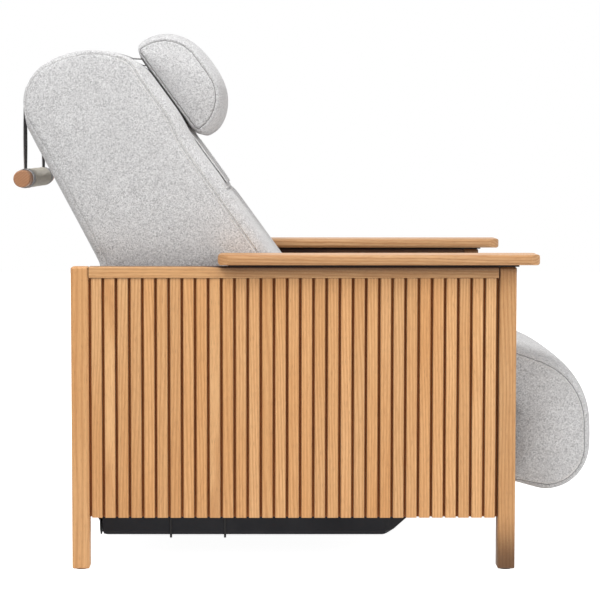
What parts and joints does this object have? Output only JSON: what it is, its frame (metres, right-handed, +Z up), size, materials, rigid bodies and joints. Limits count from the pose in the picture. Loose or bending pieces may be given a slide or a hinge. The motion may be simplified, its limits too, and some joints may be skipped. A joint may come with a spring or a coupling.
{
  "type": "reflexology lounge chair",
  "caption": "Reclining foot-treatment lounge chair with slatted oak sides, a thick grey upholstered backrest, a counterweighted head pillow, sliding arm boards and a lifting calf rest.",
  "frame": {"origin": "floor level, in the middle of the chair's length and width", "axes": "+X forward from the backrest to the calf rest, +Y to the sitter's left, +Z up"},
  "size_m": [1.2214, 0.78, 1.1231],
  "materials": {
    "oak": "satin, clear lacquered",
    "oak_arm": "satin, clear lacquered",
    "beech": "matte, oiled",
    "dark_board": "matte, stained",
    "softwood": "matte, raw",
    "plywood": "matte, raw",
    "grey_fabric": "matte melange weave",
    "strap_webbing": "matte webbing",
    "sleeve_fabric": "matte weave",
    "black_steel": "satin powder coat",
    "grey_steel": "satin powder coat",
    "bright_steel": "satin zinc",
    "bronze": "satin sintered",
    "black_plastic": "matte",
    "housing_plastic": "fine grained"
  },
  "bodies": {
    "base": {"rear_leg_right": "oak", "rear_leg_left": "oak", "front_leg_right": "oak", "front_leg_left": "oak", "top_rail_right": "oak", "top_rail_left": "oak", "low_rail_right": "softwood", "low_rail_left": "softwood", "slats_right": "oak", "slats_left": "oak", "backing_board_right": "dark_board", "backing_board_left": "dark_board", "foot_glides": "black_plastic", "arm_runner_right": "black_steel", "arm_runner_left": "black_steel", "rear_stretcher": "softwood", "front_stretcher": "softwood", "seat_rails": "grey_steel", "seat_bearers": "grey_steel", "frame_bolts": "bright_steel", "back_pivot_brackets": "grey_steel", "back_pivot_bushes": "bronze", "calf_pivot_brackets": "grey_steel", "calf_pivot_bushes": "bronze", "seat_board": "plywood", "seat_cushion": "grey_fabric", "underpan": "black_steel", "underpan_clips": "black_steel", "control_box": "housing_plastic", "actuator_saddles": "grey_steel", "back_actuator": "housing_plastic", "calf_actuator": "housing_plastic"},
    "backrest": {"back_frame": "grey_steel", "back_pivot_pins": "bright_steel", "back_drive_pin": "bright_steel", "back_panel": "plywood", "back_cushion": "grey_fabric", "head_straps": "strap_webbing"},
    "pillow": {"head_pillow": "grey_fabric", "pillow_flap": "grey_fabric"},
    "strap_swing": {"strap_drops": "strap_webbing"},
    "counterweight": {"counterweight_dowel": "beech", "dowel_sleeve": "sleeve_fabric", "strap_loops": "strap_webbing"},
    "calf_rest": {"calf_frame": "grey_steel", "calf_pivot_pins": "bright_steel", "calf_drive_pin": "bright_steel", "calf_board": "plywood", "calf_cushion": "grey_fabric"},
    "arm_right": {"arm_board_right": "oak_arm", "arm_slider_right": "black_plastic", "arm_screws_right": "bright_steel"},
    "arm_left": {"arm_board_left": "oak_arm", "arm_slider_left": "black_plastic", "arm_screws_left": "bright_steel"},
    "back_drive": {"back_actuator_rod": "bright_steel", "back_yoke": "bright_steel"},
    "calf_drive": {"calf_actuator_rod": "bright_steel", "calf_yoke": "bright_steel"}
  },
  "joints": [
    {"name": "back_recline", "type": "hinge", "parent": "base", "child": "backrest", "pos_m": [0.05669, 0, 0.431], "axis": [0, -1, 0], "range_deg": [-12, 50]},
    {"name": "calf_lift", "type": "hinge", "parent": "base", "child": "calf_rest", "pos_m": [0.40369, 0, 0.414], "axis": [0, -1, 0], "range_deg": [0, 60]},
    {"name": "pillow_slide", "type": "slide", "parent": "backrest", "child": "pillow", "axis": [0.5678, 0, -0.8231], "range_m": [0, 0.055]},
    {"name": "counterweight_swing", "type": "hinge", "parent": "backrest", "child": "strap_swing", "pos_m": [-0.58939, 0, 0.94941], "axis": [0, 1, 0], "range_deg": [-15, 55]},
    {"name": "counterweight_lift", "type": "slide", "parent": "strap_swing", "child": "counterweight", "axis": [0, 0, 1], "range_m": [-0.002, 0.06], "deforming": ["strap_drops"]},
    {"name": "arm_right_slide", "type": "slide", "parent": "base", "child": "arm_right", "axis": [1, 0, 0], "range_m": [-0.08, 0.06]},
    {"name": "arm_left_slide", "type": "slide", "parent": "base", "child": "arm_left", "axis": [1, 0, 0], "range_m": [-0.08, 0.06]},
    {"name": "back_drive_slide", "type": "slide", "parent": "base", "child": "back_drive", "axis": [1, 0, 0], "range_m": [-0.024, 0.095]},
    {"name": "calf_drive_slide", "type": "slide", "parent": "base", "child": "calf_drive", "axis": [1, 0, 0], "range_m": [0, 0.088]}
  ],
  "couplings": [
    {"joint": "counterweight_swing", "follows": "back_recline", "ratio": 1},
    {"joint": "counterweight_lift", "follows": "pillow_slide", "ratio": 1},
    {"joint": "back_drive_slide", "follows": "back_recline", "m_per_rad": 0.1056},
    {"joint": "calf_drive_slide", "follows": "calf_lift", "m_per_rad": 0.08212}
  ]
}
